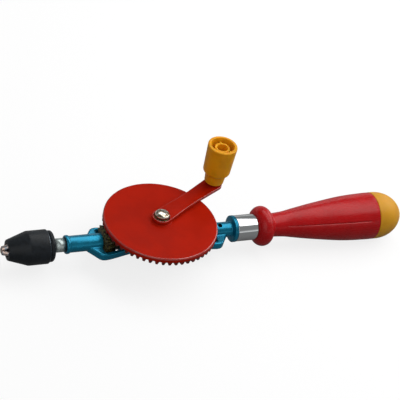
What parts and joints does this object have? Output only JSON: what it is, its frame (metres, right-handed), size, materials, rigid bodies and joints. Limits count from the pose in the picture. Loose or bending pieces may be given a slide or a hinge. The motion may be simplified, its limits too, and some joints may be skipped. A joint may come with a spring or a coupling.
{
  "type": "hand drill",
  "caption": "Hand drill with a crank-turned bevel wheel, two pinions, a three-jaw chuck and a long handle with a domed cap.",
  "frame": {"origin": "centre of the flat back face of the frame's hub, on the gear wheel's axis", "axes": "+X along the tool axis from chuck to handle, +Z along the gear wheel's axis towards the crank, +Y completes the set"},
  "size_m": [0.342, 0.0908, 0.0783],
  "materials": {
    "blue_paint": "gloss enamel on die-cast metal",
    "red_paint": "satin enamel on steel",
    "bright_steel": "turned and polished",
    "greased_steel": "dark, greased",
    "chrome": "bright plated",
    "bronze": "sintered, oiled",
    "black_oxide": "matte black",
    "red_plastic": "gloss moulded",
    "yellow_plastic": "satin moulded"
  },
  "bodies": {
    "frame": {"frame_casting": "blue_paint", "nose_bush": "bronze", "thrust_washer": "bronze", "pilot_bush": "bronze", "hub_washer": "bronze", "axle_stud": "bright_steel", "arm_washer": "greased_steel", "idler_axle": "bright_steel", "idler_axle_pin": "bright_steel", "ferrule": "chrome", "handle_grip": "red_plastic"},
    "crank": {"gear_wheel": "red_paint", "wheel_bush": "greased_steel", "crank_arm": "red_paint", "knob_pin": "bright_steel"},
    "knob": {"crank_knob": "yellow_plastic"},
    "spindle": {"spindle": "bright_steel", "drive_pinion": "greased_steel", "pinion_pin": "bright_steel", "chuck_body": "black_oxide"},
    "idler": {"idler_pinion": "greased_steel"},
    "chuck_sleeve": {"chuck_sleeve": "black_oxide", "chuck_nut": "bright_steel"},
    "jaw_1": {"chuck_jaw_1": "bright_steel"},
    "jaw_2": {"chuck_jaw_2": "bright_steel"},
    "jaw_3": {"chuck_jaw_3": "bright_steel"},
    "cap": {"end_cap": "yellow_plastic"}
  },
  "joints": [
    {"name": "crank_turn", "type": "hinge", "parent": "frame", "child": "crank", "pos_m": [0, 0, 0.009], "axis": [0, 0, 1], "continuous": true},
    {"name": "knob_spin", "type": "hinge", "parent": "crank", "child": "knob", "pos_m": [0.05649, 0.03394, 0.009], "axis": [0, 0, 1], "continuous": true},
    {"name": "spindle_turn", "type": "hinge", "parent": "frame", "child": "spindle", "pos_m": [0, 0, 0.009], "axis": [1, 0, 0], "continuous": true},
    {"name": "idler_turn", "type": "hinge", "parent": "frame", "child": "idler", "pos_m": [0, 0, 0.009], "axis": [1, 0, 0], "continuous": true},
    {"name": "sleeve_turn", "type": "hinge", "parent": "spindle", "child": "chuck_sleeve", "pos_m": [0, 0, 0.009], "axis": [1, 0, 0], "range_deg": [0, 1080]},
    {"name": "jaw_1_slide", "type": "slide", "parent": "spindle", "child": "jaw_1", "axis": [0.9659, -0.2462, -0.08], "range_m": [0, 0.01036]},
    {"name": "jaw_2_slide", "type": "slide", "parent": "spindle", "child": "jaw_2", "axis": [0.9659, 0.1923, -0.1732], "range_m": [0, 0.01036]},
    {"name": "jaw_3_slide", "type": "slide", "parent": "spindle", "child": "jaw_3", "axis": [0.9659, 0.0538, 0.2532], "range_m": [0, 0.01036]},
    {"name": "cap_pull", "type": "slide", "parent": "frame", "child": "cap", "axis": [1, 0, 0], "range_m": [0, 0.03]}
  ],
  "couplings": [
    {"joint": "spindle_turn", "follows": "crank_turn", "ratio": 4},
    {"joint": "idler_turn", "follows": "crank_turn", "ratio": -4},
    {"joint": "jaw_1_slide", "follows": "sleeve_turn", "m_per_rad": 0.000549},
    {"joint": "jaw_2_slide", "follows": "sleeve_turn", "m_per_rad": 0.000549},
    {"joint": "jaw_3_slide", "follows": "sleeve_turn", "m_per_rad": 0.000549}
  ]
}
